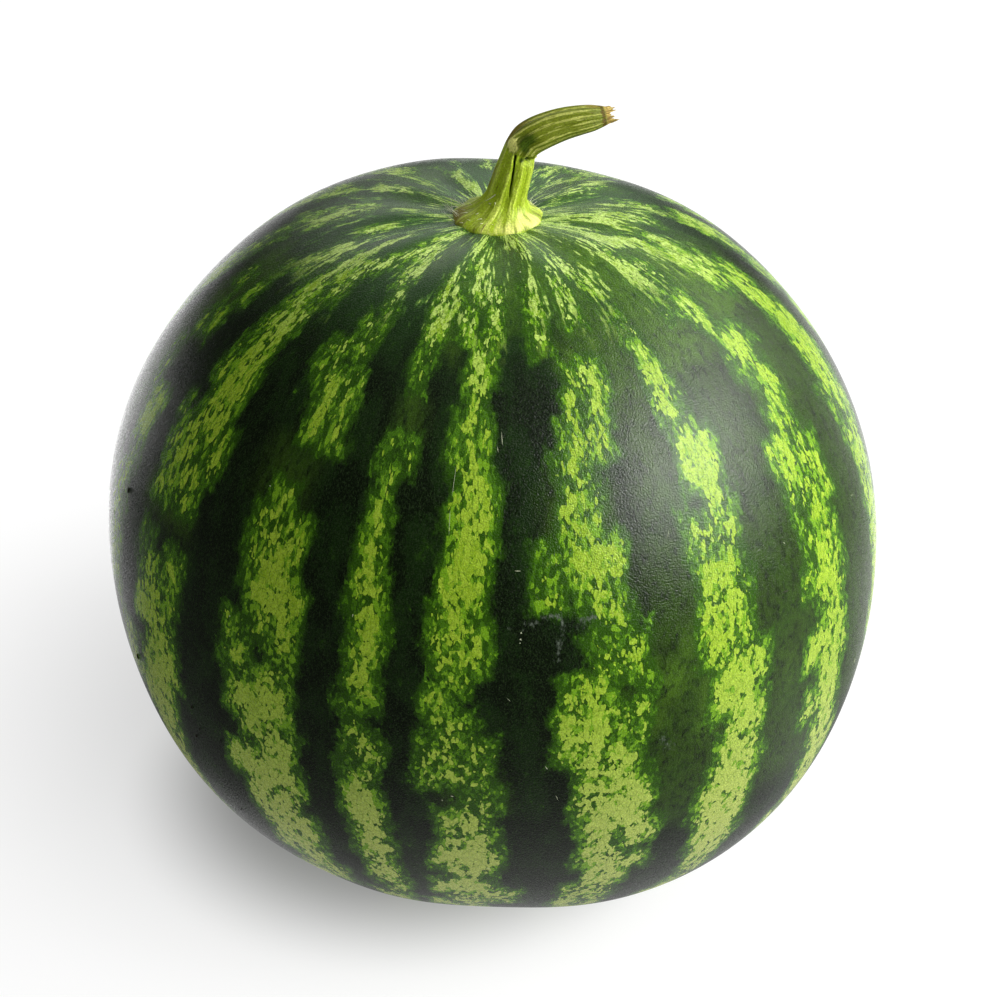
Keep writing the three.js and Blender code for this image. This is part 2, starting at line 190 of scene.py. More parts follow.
PALE_PATCHES = [
    # far left
    (-96, -90, 12, 14, .5), (-79.5, -75, 15, 19, .8), (-75, -66, 22, 30, .32), (-78, -75, 30.5, 33, .4),
    (-76.8, -74.3, 36, 38.5, .75), (-87, -82, 36.5, 39, .5), (-80.8, -77, 42, 44.5, .7),
    (-82.5, -80, 44, 47, .6), (-77.5, -75, 44, 46.5, .55), (-84, -81, 50, 58, .4),
    (-78.8, -73.8, 56.5, 64.5, .97), (-78, -74.3, 64, 70, .62), (-76.5, -72.5, 73, 74.5, .6),
    (-81, -74, 70, 80, .5), (-80, -73, 80, 90, .6), (-73, -66, 91, 101, .6),
    # left
    (-61, -57, 14.5, 18.5, .6), (-60, -56, 20, 22.5, .85), (-63.3, -57, 22, 25.5, .8),
    (-57, -50, 21.5, 25.5, .62), (-49.5, -46.5, 19, 23, .85), (-62, -58.8, 25, 28, .85),
    (-57.5, -54.3, 24.5, 28, .75), (-55, -49, 26, 30, .4), (-62.5, -57.4, 28, 30.5, .98),
    (-61, -57.4, 30, 33.5, .98), (-63.6, -61, 31, 34, .5), (-60, -52.6, 33, 35.5, .95),
    (-60.6, -53.8, 35, 40.5, 1), (-63.5, -61, 36, 39.5, .55), (-59.6, -53.3, 40, 45.5, 1),
    (-64, -62.5, 42, 45, .5), (-60.3, -52.6, 45, 50, .97), (-63.6, -60.4, 44, 48.5, .75),
    (-61, -53, 50, 55, .78), (-67, -65, 53, 55, .35), (-52.3, -50.2, 53, 58, .8), (-60.6, -57, 55, 60, .95),
    (-64.3, -61, 55, 59, .5), (-54.5, -50.6, 57, 60, .75), (-61.5, -53, 59.5, 64, .82),
    (-65, -62, 59.5, 63, .55), (-63.5, -59.6, 61, 67, .75), (-57.5, -53, 62.5, 66, .55),
    (-64, -60, 72, 75, .45), (-56, -53, 73.5, 77.5, .65), (-54, -52.2, 73, 78, .75),
    (-62.5, -58, 76, 80, .7), (-63.5, -56, 79.5, 83, .82), (-54.8, -52.6, 77, 81, .75),
    (-64, -54, 82, 87, .9), (-59.5, -53, 85, 90, .88), (-60, -52, 89, 94, .92), (-62, -54, 92, 99, .92),
    (-65, -54.5, 97, 105, .92), (-63, -55, 104, 111, .88), (-62, -54, 110, 118, .8),
    (-60, -52, 118, 126, .6),
    # second from the left of the middle
    (-49, -39, 7.5, 9.5, .85), (-48, -45, 11, 15, .6), (-42, -38, 14, 17, .8), (-44, -42, 17, 20, .6),
    (-37.5, -34, 13, 15.5, .65), (-38, -31, 17, 20.5, .9), (-36.5, -33, 20, 23.5, .85),
    (-34.5, -31.4, 23, 27, .75), (-32.3, -30, 26.5, 29.5, .65), (-36, -30, 30, 36, .5),
    (-41, -36, 35, 40.5, .55), (-36.2, -33, 39, 48.5, .95), (-31.6, -28.8, 38, 43, .7),
    (-31, -28, 43, 49, .7), (-37, -34, 56, 60.5, .82), (-39, -30, 60, 64, .72), (-36.3, -30, 63.5, 70.5, 1),
    (-39.3, -37, 64, 70, .58), (-37.2, -29, 70, 74.5, .92), (-36.2, -33.8, 74, 77.5, .85),
    (-32.2, -29, 74, 80, .88), (-41, -39, 76, 79, .6), (-41, -37, 79, 83, .68), (-35.3, -30, 82.5, 86, .8),
    (-40.2, -30, 85, 91, 1), (-38.2, -31, 90, 94.5, .82), (-34.4, -29, 93, 97.5, .82),
    (-41, -29, 97, 103, 1), (-38.7, -30, 102.5, 108.5, .92), (-38.4, -28, 108, 113.5, .92),
    (-37.3, -29, 113, 117.5, .85), (-38, -28, 117, 121, .7), (-36, -26, 120, 128, .62),
    # left of the middle, the narrowest
    (-13, -10.3, 8, 13, .6), (-14.5, -11, 15, 19, .65), (-18.6, -15, 20, 26.3, .88),
    (-13.2, -12, 23, 25.5, .65), (-18, -12.6, 26, 30.3, .88), (-18, -14, 30, 35.5, .42),
    (-17, -15, 35, 39, .32), (-19, -14, 46, 50, .4), (-18.3, -16.8, 50, 55.5, .92),
    (-19.2, -17, 55, 60.5, .9), (-19.7, -16.9, 60, 65.5, .9), (-20.1, -16, 65, 68.5, .85),
    (-19.2, -16, 68, 75.5, 1), (-20.1, -16.9, 75, 80.3, 1), (-19, -16.5, 80, 84, .65),
    (-20.7, -19, 84, 88.5, .75), (-20, -16, 88, 95, .58), (-21, -17, 94.5, 98.5, .85),
    (-20.6, -16.4, 98, 106, 1), (-19.6, -15.4, 105, 111.5, 1), (-20, -16, 111, 115.5, .85),
    (-20, -15, 115, 119.5, .85), (-19, -14.5, 119, 126, .6),
    # the middle
    (-9, -7, 15, 18, .6), (-6.8, -4.2, 18, 22, .65), (-5, 3, 22, 25, .58), (-8.2, -5, 25.5, 30.3, .88),
    (-2, 2, 25, 30, .68), (-4.2, 0, 31, 37.3, .93), (-5.1, -1, 36, 43.3, .93), (-4.6, -2.9, 43, 49.5, .98),
    (-2.1, -.9, 43, 49, .92), (-7, -5.5, 43, 49, .58), (-5, -2, 49, 51.7, .78), (-5.1, 0, 51, 56, .97),
    (-6, 0, 55, 60, 1), (-6.2, -1, 59, 64.3, 1), (-7, -1, 64, 68.3, .87), (-8, -4, 68, 70.4, .75),
    (-8, -1, 70, 76.2, .82), (-6.3, -4, 76, 79.7, .75), (-8.6, -6, 79, 83.3, .75),
    (-7.6, -3, 83, 88.3, .78), (-9.6, -5, 88, 92.3, .75), (-3, 0, 88, 92, .62), (-9.6, -5, 92, 95.2, .78),
    (-4.6, 0, 92, 95, .72), (-4, 1, 95, 100, .5), (-7.1, -1, 100, 105, .78), (-7.1, .6, 105, 109, .82),
    (-8.1, .6, 108, 112.4, 1), (-7.1, 0, 112, 115.3, .87), (-7, -2, 114, 118.3, .78),
    (-9.1, 0, 118, 122.3, .82), (-8, 4, 121, 128, .6),
    # right of the middle
    (9, 19, 8, 10, .62), (12.8, 14.3, 11, 12.3, .7), (15.7, 19.3, 12, 14.3, .7), (10, 15, 21, 25, .42),
    (10, 15, 25, 28.3, .65), (10, 15, 28, 33, .42), (17, 25, 36, 40.3, .78), (14.8, 18, 40, 44, .72),
    (20, 23.1, 40, 44, .72), (13, 22, 44, 49, .7), (11, 18, 48, 54, .56), (11, 17, 54, 60.3, .74),
    (12, 19.6, 60, 65.3, 1), (6.8, 10, 60, 68, .52), (12.8, 17, 65, 68.3, .82), (15, 20, 67, 72, .62),
    (14, 22, 73, 80, .62), (10, 16.2, 79, 85, .88), (9.3, 16.2, 84, 91.4, 1), (16.8, 21, 83, 88, .62),
    (20, 22.2, 83, 86, .62), (12, 20.2, 90, 95.3, .75), (12, 22.2, 95, 101.3, .82),
    (12.8, 23.2, 100, 105.5, .88), (13.8, 18, 105, 110.5, .88), (19.2, 24.1, 105, 109.7, .82),
    (13.8, 20, 110, 113.4, .82), (15, 24.1, 113, 116.4, .87), (15, 22.1, 116, 120.4, .87),
    (12, 21, 120, 128, .62),
    # second from the right of the middle
    (22, 27, 17, 23, .52), (21, 26, 24.5, 29, .5), (30.6, 35.2, 15.5, 20.3, .85), (33, 37.3, 20, 25.5, .72),
    (33.5, 34.7, 30, 35, .62), (36.5, 37.7, 30, 35, .62), (34.8, 38.2, 35, 39.4, .93),
    (34, 39, 39, 45, .72), (34, 38.1, 43, 47.3, .82), (35, 40.1, 47, 50.3, .83), (34, 41.2, 50, 56.4, 1),
    (36, 40.2, 55, 60.3, .87), (31, 40, 60, 65, .68), (36, 39.6, 65, 69.3, .75), (32, 38.2, 67, 75.4, 1),
    (38, 40, 70, 79, .66), (31.4, 39.2, 74, 80.4, .97), (34, 42.1, 81, 85.4, 1), (33, 40.2, 84, 90.4, 1),
    (35, 41.1, 90, 95.3, .87), (34, 41.1, 95, 100.3, .92), (33, 38, 99, 106.2, .87),
    (38.2, 41, 99, 106, .82), (32, 41.1, 103, 109.5, .97), (33, 41.1, 109, 115.5, .97),
    (34, 41.1, 114, 121.5, .92), (35, 41, 121, 129, .66),
    # right
    (52.5, 58, 15.5, 19.5, .62), (51.8, 56, 20, 25, .75), (50, 53, 25, 27.4, .66),
    (53, 56.2, 26, 28.4, .76), (56, 62, 24, 28, .58), (50, 54, 30, 33.5, .42), (56, 60.7, 31, 35.3, .88),
    (56.4, 61.2, 35, 37.7, .88), (57.4, 59.2, 37, 40.3, .78), (58.3, 64.7, 40, 45.3, .97),
    (55.8, 58, 43, 45, .66), (65, 68, 41, 43.3, .56), (61.4, 64.2, 45, 50.3, .93), (57, 60, 45, 48, .52),
    (60.3, 63.7, 50, 54.7, .84), (56.4, 59.2, 52, 55.3, .76), (60, 63, 55, 60, .74),
    (53, 58.2, 56, 60.3, .88), (52, 58, 59, 63.3, .82), (59.4, 65, 60, 64.3, .88), (53, 56, 63, 66, .64),
    (57, 60, 62, 66, .56), (61.8, 64.7, 63, 67.3, .75), (56, 61, 66, 69.3, .78), (53, 55, 68, 72, .56),
    (55.8, 60, 71, 75.3, .97), (60.4, 62.7, 71, 74, .82), (54, 61, 75, 80.4, .97), (61, 63.2, 75, 80, .74),
    (51.4, 54, 75, 78, .64), (55, 60, 79, 85.3, .84), (51, 61, 85, 89.4, .93), (54, 60, 89, 93.4, .97),
    (60, 62, 86, 92, .72), (54.8, 60, 93, 100.3, .93), (51, 55, 95, 99, .64), (54, 60.2, 100, 105.4, .85),
    (54.8, 62, 105, 110.4, .88), (54, 60.5, 110, 118.4, .85), (51.5, 58.5, 118, 127, .66),
    # far right
    (61, 70, 16, 19.6, .97), (68, 76, 8, 11, .72), (66, 74, 12, 14.6, .64), (71.4, 75.6, 19.5, 24.2, .93),
    (79, 80.7, 15.5, 19, .56), (78, 81.5, 23, 28.2, .88), (74, 77.2, 25, 29.3, .86),
    (73, 80, 28, 34.3, .98), (79.8, 84.6, 30.5, 35.2, .88), (77, 79.6, 34, 37, .64),
    (80, 84, 36, 40.3, .88), (84, 88, 35, 40.3, .88), (80.4, 87, 40, 45.4, .97), (80, 88, 45, 50.4, 1),
    (79, 88, 50, 55.4, 1), (79.4, 87, 53, 58.4, .97), (76.4, 80, 57, 62, .62), (80.6, 87, 58, 66, .85),
    (77, 85, 65, 80, .82), (77, 85, 80, 93, .88), (75, 84, 92, 103, .82), (76, 83, 103, 115, .85),
    (77, 84, 115, 127, .66),
    # behind the stalk, to the right
    (84, 88.5, 10, 15, .64), (88.5, 93.5, 15, 18, .74), (90, 94.5, 19, 24, .64), (97, 101, 21, 22.6, .64),
    (102, 107, 17, 20, .54), (104, 109.2, 20, 25, .64), (102, 107, 24, 28, .54),
    (101, 110, 29.5, 38.5, .93), (121, 128, 16, 19.3, .74), (118, 127, 10, 15, .42),
    (135, 141, 16, 20.4, .78), (137, 149, 22, 28, .72), (143, 147, 12, 15, .56), (151, 156.5, 18, 25, .68),
    # behind the stalk, to the left
    (-106, -101, 18, 24, .66), (-100, -92, 18, 27, .58), (-106, -98, 24, 30, .52),
    (-123, -117, 15, 19.4, .76), (-122, -116, 24, 28, .64), (-126.5, -117, 27, 38, .68),
    (-137, -131, 12.8, 14.7, .6), (-145, -139, 20, 29, .6), (-158.6, -152.4, 9, 14.3, .9),
    (-155, -151.5, 16, 20, .45), (-179.3, -175.7, 18, 25, .76),
]

# Mid green with no pale patch in it, given the same way.
GREEN_PATCHES = [
    (-18, -14, 40, 46, .6), (16, 22, 32, 36, .95), (26, 33, 73, 80, .7), (22, 30, 77, 85, .75),
    (18, 26, 82, 90, .6), (18, 30, 22, 35, .5), (30, 34, 35, 40, .6), (29, 34, 80, 93, .8),
    (9, 20, 53, 61, .6), (11, 15, 50, 56, .85), (55, 69, 44, 54, .7), (-75, -64, 20, 31, .45),
    (-90, -76, 30, 48, .45), (-88, -80, 49, 64, .5), (50, 66, 15, 35, .8), (-8, 12, 14, 24, .45),
    (39, 44, 12, 26, .6), (-66, -52, 66, 69, .7), (-41, -31, 50, 58, .35), (2, 8, 24, 30, .5),
    (-13, -9, 26, 34, .5), (-6, 1, 95, 100, .6), (21, 34, 22, 44, .5), (24, 33, 38, 60, .35),
    (38, 55, 20, 42, .7), (41, 53, 36, 60, .3), (61, 80, 16, 40, .8), (65, 77, 34, 56, .35),
    (43, 50, 83, 92, .45), (42, 48, 93, 104, .4), (84, 110, 9, 16, .8), (118, 146, 8, 22, .5),
    (-150, -128, 14, 24, .4), (-122, -90, 8, 16, .4), (30, 108, 5, 22, 1), (-18, 30, 10, 26, .6),
    (-50, -22, 9, 20, .4), (22, 60, 60, 108, .3), (60, 92, 24, 104, .3), (30, 58, 26, 44, .35),
]

# The back carries on in the same way: stripes about 20 degrees apart, grown by a rule, and every stripe
# runs on, thinner, towards the blossom scar.
BACK_STRIPES = [104, 123, 141, 158, 181, 203, 220, 239, 260]
FRONT_STRIPES = [-77, -57, -34, -18, -4, 17, 37, 57, 80]
growth = np.random.default_rng(11)


def grow_stripe(centre, width, top, bottom):
    """Patches down one stripe that drifts and swells a little, with gaps and a few splits."""
    patches = []
    turn = growth.uniform(0, 360)
    polar = top
    while polar < bottom:
        length = growth.uniform(3, 7)
        middle = centre + 1.6 * sine(5 * polar + turn) + growth.uniform(-1, 1)
        half = width * growth.uniform(0.55, 1.1) / 2
        strength = growth.choice([0.5, 0.68, 0.8, 0.95], p=[0.14, 0.26, 0.3, 0.3])
        if growth.random() < 0.2:
            patches.append((middle - half - 1.5, middle - 0.8, polar, polar + length, strength))
            patches.append((middle + 1.2, middle + half + 1.2, polar + 1, polar + length, strength - 0.1))
        else:
            patches.append((middle - half, middle + half, polar, polar + length + 0.3, strength))
        polar += length
        if growth.random() < 0.08:
            polar += 2
    return patches


grown = []
for centre in BACK_STRIPES:
    grown += grow_stripe(centre, width=8, top=31, bottom=127)
for centre in BACK_STRIPES + FRONT_STRIPES:
    grown += grow_stripe(centre, width=9, top=127, bottom=162)
all_patches = PALE_PATCHES + grown


def smooth(value):
    """0 to 1 with soft ends, for a value from 0 to 1."""
    value = np.clip(value, 0, 1)
    return value * value * (3 - 2 * value)


MM_PER_DEGREE = SKIN_RADIUS * math.pi / 180
WARPS = 7
warps = np.random.default_rng(3)


def wander(size):
    """A slow random shift of up to about the given size, the same all round, for every point of the skin."""
    total = np.zeros_like(polar_grid)
    for _ in range(WARPS):
        turns = warps.integers(18, 60)
        falls = warps.uniform(15, 55)
        total += sine(turns * azimuth_grid + falls * polar_grid + warps.uniform(0, 360))
    return size * total / math.sqrt(WARPS)


front_grid = azimuth_grid + 90 + wander(0.45)
down_grid = polar_grid + wander(0.5)


def stripe_field(patches, grow, soft, floor):
    """The strongest patch at every point of the skin, each grown by and softened over so many mm."""
    field = np.zeros_like(polar_grid)
    for left, right, top, bottom, strength in patches:
        rows = (polars > top - 8) & (polars < bottom + 8)
        across = (front_grid[rows] - (left + right) / 2 + 180) % 360 - 180
        narrowing = sine(polars[rows])[:, None]
        beside = (np.abs(across) - (right - left) / 2) * MM_PER_DEGREE * narrowing - grow * narrowing
        along = (np.abs(down_grid[rows] - (top + bottom) / 2) - (bottom - top) / 2) * MM_PER_DEGREE - grow
        edge = soft * (0.25 + 0.75 * narrowing)
        outside = np.hypot(np.maximum(beside, 0), np.maximum(along, 0))
        distance = outside + np.minimum(np.maximum(beside, along), 0)
        share = smooth(0.5 - distance / edge / 2)
        field[rows] = np.maximum(field[rows], share * (floor + (1 - floor) * strength))
    return field


pale_field = stripe_field(all_patches, grow=0.1, soft=2.6, floor=0)
green_field = stripe_field(all_patches, grow=3.0, soft=3.8, floor=0.45)
haze_field = stripe_field(GREEN_PATCHES, grow=-1.0, soft=8.0, floor=0)

# Scuffs: two soft arcs across the front and a few faint smears. Azimuth and polar angle of both ends in
# degrees, half width in mm and strength.
SCUFFS = [
    (4.6, 70.4, 7.0, 69.9, 1.3, .8), (7.0, 69.9, 9.2, 69.3, 1.2, .9), (9.2, 69.6, 9.9, 71.3, 1.1, .8),
    (9.9, 71.3, 9.7, 74.6, 1.3, .8), (10.4, 72.0, 10.6, 73.2, 0.9, .6), (12.2, 70.4, 15.2, 69.9, 1.5, .8),
    (17.3, 68.4, 18.0, 69.4, 1.4, .6), (0.6, 73.2, 1.6, 72.6, 1.2, .5), (2.2, 70.2, 3.4, 70.6, 1.6, .4),
    (24, 91, 26, 92, 2.0, .6), (45, 74, 52, 74.5, 1.0, .5), (33, 101, 35, 104, 1.6, .35),
]


def scuff_field(scuffs):
    """How scuffed the skin is at every point, from 0 to 1."""
    field = np.zeros_like(polar_grid)
    narrowing = sine(polar_grid)
    for start_azimuth, start_polar, end_azimuth, end_polar, width, strength in scuffs:
        x = ((front_grid - start_azimuth + 180) % 360 - 180) * MM_PER_DEGREE * narrowing
        y = (down_grid - start_polar) * MM_PER_DEGREE
        long_x = (end_azimuth - start_azimuth) * MM_PER_DEGREE * narrowing
        long_y = (end_polar - start_polar) * MM_PER_DEGREE
        share = np.clip((x * long_x + y * long_y) / (long_x ** 2 + long_y ** 2), 0, 1)
        distance = np.hypot(x - share * long_x, y - share * long_y)
        field = np.maximum(field, strength * fade(distance, width))
    return field


# Where the noise of the finish is looked up: the skin drawn in along its meridians, so that the pigment
# cells come out long and narrow, most of all near the stalk.
stretch = 0.45 + 0.25 * smooth((polars - 50) / 45)
grain_radius = SKIN_RADIUS * np.sqrt(sine(polars))
outward = np.gradient(grain_radius, SKIN_RADIUS * np.radians(polars))
downward = np.sqrt(np.maximum(stretch ** 2 - outward ** 2, 0.01))
grain_height = SKIN_RADIUS * np.cumsum(downward) * math.radians(polars[1] - polars[0])
grain = on_column(grain_radius[:, None], azimuth_grid, np.repeat(grain_height[:, None], SKIN_SIDES, 1))

paint(rind, "grain", np.array([0, 0, 0]), grain, np.array([0, 0, grain_height[-1]]))
for name, field in [("pale", pale_field), ("green", green_field), ("haze", haze_field),
                    ("scuff", scuff_field(SCUFFS))]:
    paint(rind, name, 0, field, 0)
paint(rind, "polar", 0, polar_grid, 180)


# ---- Rind: its finish ----
# Near-black green skin under a thin wax, with mid green and pale yellow-green cells in the stripes.
# The pale cells hold together in patches with sharp, nibbled edges and a faint darker net between them.


class Value:
    """What comes out of a shader node: a number, a colour or a place."""

    def __init__(self, nodes, socket):
        self.nodes = nodes
        self.socket = socket

    def __add__(self, other):
        return self.nodes.work("ADD", self, other)

    def __radd__(self, other):
        return self.nodes.work("ADD", other, self)

    def __sub__(self, other):
        return self.nodes.work("SUBTRACT", self, other)

    def __rsub__(self, other):
        return self.nodes.work("SUBTRACT", other, self)

    def __mul__(self, other):
        return self.nodes.work("MULTIPLY", self, other)

    def __truediv__(self, other):
        return self.nodes.work("DIVIDE", self, other)

    def __rtruediv__(self, other):
        return self.nodes.work("DIVIDE", other, self)

    def off(self, amount):
        """A noise of middle value 0.5 turned into a number round 0, times amount."""
        return self * amount - 0.5 * amount

    def between(self, low, high):
        """0 below low, 1 above high, smooth between them. With low above high it falls instead."""
        return self.nodes.add("MapRange", "Result", {"Value": self, "From Min": low, "From Max": high},
                              interpolation_type="SMOOTHSTEP")

    def part(self, number):
        """One of the three numbers of a place or a colour, counted from 0."""
        return self.nodes.add("SeparateXYZ", number, {0: self})


class Nodes:
    """The nodes of one shader tree. Where a value is asked for, a number or three may be given too."""

    def __init__(self, tree):
        self.tree = tree

    def give(self, node, values):
        for socket, value in values.items():
            if isinstance(value, Value):
                self.tree.links.new(value.socket, node.inputs[socket])
            else:
                node.inputs[socket].default_value = value

    def add(self, kind, output, values, **settings):
        """Adds a node and hands back one of its outputs."""
        node = self.tree.nodes.new("ShaderNode" + kind)
        for name, value in settings.items():
            setattr(node, name, value)
        self.give(node, values)
        return Value(self, node.outputs[output])

    def work(self, operation, *values):
        """One step of arithmetic on numbers."""
        return self.add("Math", 0, dict(enumerate(values)), operation=operation)

    def vector_work(self, operation, *values):
        """One step of arithmetic on places or colours."""
        return self.add("VectorMath", 0, dict(enumerate(values)), operation=operation)

    def stored(self, name, output="Fac"):
        """What paint stored on the mesh under this name."""
        return self.add("Attribute", output, {}, attribute_name=name)

    def mix(self, share, below, above):
        return self.add("Mix", 2, {0: share, 6: below, 7: above}, data_type="RGBA")

    def noise(self, where, size, detail=2, output="Fac"):
        """Noise about its middle value, 0.5, with features of about the given size in mm."""
        return self.add("TexNoise", output, {"Vector": where, "Scale": 1 / size, "Detail": detail})

    def cells(self, where, size, output, feature="F1"):
        return self.add("TexVoronoi", output, {"Vector": where, "Scale": 1 / size}, feature=feature)


class Finish(Nodes):
    """One material and the nodes that work out its surface."""

    def __init__(self, name):
        self.material = bpy.data.materials.new(name)
        self.material.use_nodes = True
        super().__init__(self.material.node_tree)

    def surface(self, values):
        self.give(self.tree.nodes["Principled BSDF"], values)

    def in_mm(self):
        """The place on the piece, in mm."""
        return self.vector_work("MULTIPLY", self.add("TexCoord", "Object", {}), [1 / MM] * 3)

    def worn_share(self, where, worn, size):
        """How worn the skin is: places the node group of that name in this material."""
        node = self.tree.nodes.new("ShaderNodeGroup")
        node.node_tree = worn_nodes
        self.give(node, {"Where": where, "Worn": worn, "Size": size})
        return Value(self, node.outputs["Share"])


def worn_share_group():
    """A node group for scuffed and dried places: how worn the skin is, 0 to 1, broken up by noise."""
    group = bpy.data.node_groups.new("worn_share", "ShaderNodeTree")
    sockets = group.interface
    sockets.new_socket("Where", in_out="INPUT", socket_type="NodeSocketVector")
    sockets.new_socket("Worn", in_out="INPUT", socket_type="NodeSocketFloat")
    sockets.new_socket("Size", in_out="INPUT", socket_type="NodeSocketFloat")
    sockets.new_socket("Share", in_out="OUTPUT", socket_type="NodeSocketFloat")
    nodes = Nodes(group)
    where, worn, size = [Value(nodes, socket) for socket in group.nodes.new("NodeGroupInput").outputs[:3]]
    share = (nodes.noise(where, size, 3) * 2.6 + worn * 1.6).between(2.0, 2.9)
    nodes.give(group.nodes.new("NodeGroupOutput"), {"Share": share})
    return group


worn_nodes = worn_share_group()

DARK_SKIN = (0.0032, 0.0080, 0.0014, 1)
DARK_VEIN = (0.0075, 0.0235, 0.0030, 1)
GRIT_GREEN = (0.018, 0.036, 0.010, 1)
CROWN_SKIN = (0.024, 0.078, 0.011, 1)
CROWN_GREEN = (0.100, 0.250, 0.030, 1)
HAZE_GREEN = (0.085, 0.190, 0.010, 1)
DEEP_GREEN = (0.030, 0.094, 0.003, 1)
MID_GREEN = (0.066, 0.185, 0.006, 1)
BRIGHT_GREEN = (0.190, 0.400, 0.014, 1)
PALE_CROWN = (0.600, 0.800, 0.200, 1)
PALE_GREEN = (0.395, 0.590, 0.040, 1)
PALE_DEEP = (0.300, 0.490, 0.022, 1)
PALE_LOW = (0.520, 0.620, 0.140, 1)
PALE_NET = (0.100, 0.240, 0.010, 1)
SCUFF_GREY = (0.130, 0.160, 0.120, 1)
CORK = (0.270, 0.190, 0.095, 1)
WAX_IOR = 1.38
SMOOTHEST = 0.16
ROUGHEST = 0.34

# Sizes in mm: of the flakes, the specks, the spacing of the drops and how far noise shifts their edges.
FLAKE_SIZE = 1.8
SPECK_SIZE = 1.25
DROP_SPACING = 2.3
WAVER = 1.5
SKIN_RELIEF = 0.23
SPOKES = 45

# Angles from the crown, in degrees, between which the skin changes.
FLAKES_THIN = (106, 82)
STREAKS_FADE_IN = (36, 20)
STREAKS_CLOSE_UP = (15, 8)
CROWN_LIGHTENS = (40, 12)
PALE_TURNS_GREEN = (18, 46)
PALE_TURNS_WHITE = (76, 118)
NET_STRENGTHENS = (78, 48)
SCAR_EDGE = (172, 178)

peel = Finish("rind")
where = peel.stored("grain", "Vector")
polar = peel.stored("polar")
stripe = peel.stored("pale")
green = peel.stored("green")
haze = peel.stored("haze")
drift = peel.vector_work("MULTIPLY", peel.noise(where, 2.2, 2, "Color"), [WAVER] * 3)
bent = peel.vector_work("ADD", where, drift)
broad = peel.noise(where, 8, 1)
fine = peel.noise(where, 0.9)
grit = peel.noise(where, 0.42, 1)

# The pale cells close up where the stripe is strong, and where it fades only scattered groups are left.
flake_tint = peel.cells(bent, FLAKE_SIZE, "Color")
flake_edge = peel.cells(bent, FLAKE_SIZE, "Distance", "DISTANCE_TO_EDGE") * FLAKE_SIZE
patchy = peel.noise(bent, 3.0).off(1.9) + peel.noise(where, 1.6, 1).off(1.6)
patchy = patchy + broad.off(0.6) + flake_tint.part(0).off(0.35)
patchy = patchy + (peel.work("MINIMUM", flake_edge, 0.5) * 0.45 - 0.13)
flake_level = patchy * stripe.between(0.02, 0.22) + stripe - polar.between(*FLAKES_THIN) * 0.05
pale_share = flake_level.between(0.648, 0.678)
net = flake_edge.between(0.17, 0.05) * fine.between(0.42, 0.54)

green_level = green + broad.off(0.6) + peel.noise(bent, 2.8).off(0.8)
speck_tint = peel.cells(bent, SPECK_SIZE, "Color")
speck_level = green_level + speck_tint.part(0).off(0.8) + fine.off(0.8)
deep_share = (green_level + fine.off(0.6)).between(0.12, 0.66)

# Round about the patches lie single cells and small groups, like drops.
drop_tint = peel.cells(bent, DROP_SPACING, "Color")
drop_size = drop_tint.part(0) * 0.5 + 0.15
drop_fill = (drop_size - peel.cells(bent, DROP_SPACING, "Distance") * DROP_SPACING).between(0.0, 0.12)
drop_chance = (green_level + drop_tint.part(1).off(0.9)).between(0.98, 1.04)
pale_share = peel.work("MAXIMUM", pale_share, drop_fill * drop_chance)

# Close to the stalk the pigment is drawn out into fine pale and green streaks that run from it.
level = peel.vector_work("MULTIPLY", where, (1, 1, 0))
spoke = peel.vector_work("MULTIPLY", peel.vector_work("NORMALIZE", level), (SPOKES, SPOKES, 0))
spoke = peel.vector_work("ADD", spoke, peel.add("CombineXYZ", 0, {"Z": polar * 0.42}))
streak_level = peel.noise(spoke, 1.0, 3).off(1.6) + peel.noise(spoke, 4.5, 1).off(1.3)
streak_level = streak_level + (green * 0.30 - 0.24) + haze * 0.16 + polar.between(*STREAKS_CLOSE_UP) * 0.17
near_stalk = polar.between(*STREAKS_FADE_IN)
pale_share = peel.work("MAXIMUM", pale_share, streak_level.between(0.10, 0.19) * near_stalk)
haze_grain = peel.noise(bent, 2.2, 3).off(3.0) + fine.off(1.6)

pale = peel.mix(polar.between(*PALE_TURNS_GREEN), PALE_CROWN, PALE_GREEN)
deeper = broad + flake_tint.part(1).off(0.35) + fine.off(1.2) + grit.off(0.8)
pale = peel.mix(deeper.between(0.42, 0.80), pale, PALE_DEEP)
pale = peel.mix(polar.between(*PALE_TURNS_WHITE), pale, PALE_LOW)
pale = peel.mix(net * (polar.between(*NET_STRENGTHENS) * 0.4 + 0.45), pale, PALE_NET)

colour = peel.mix((broad + fine.off(0.6)).between(0.40, 0.65), DARK_SKIN, DARK_VEIN)
for share, layer in [
    (grit.between(0.45, 0.75), GRIT_GREEN),
    (polar.between(*CROWN_LIGHTENS), CROWN_SKIN),
    (streak_level.between(-0.12, 0.12) * near_stalk, CROWN_GREEN),
    (haze * haze_grain.between(-1.1, 0.45), HAZE_GREEN),
    (deep_share, DEEP_GREEN),
    (speck_level.between(0.69, 0.79), MID_GREEN),
    (speck_level.between(1.00, 1.06), BRIGHT_GREEN),
    (pale_share, pale),
    (peel.worn_share(where, peel.stored("scuff"), 0.8), SCUFF_GREY),
    (peel.worn_share(where, polar.between(*SCAR_EDGE), 1.2), CORK),
]:
    colour = peel.mix(share, colour, layer)

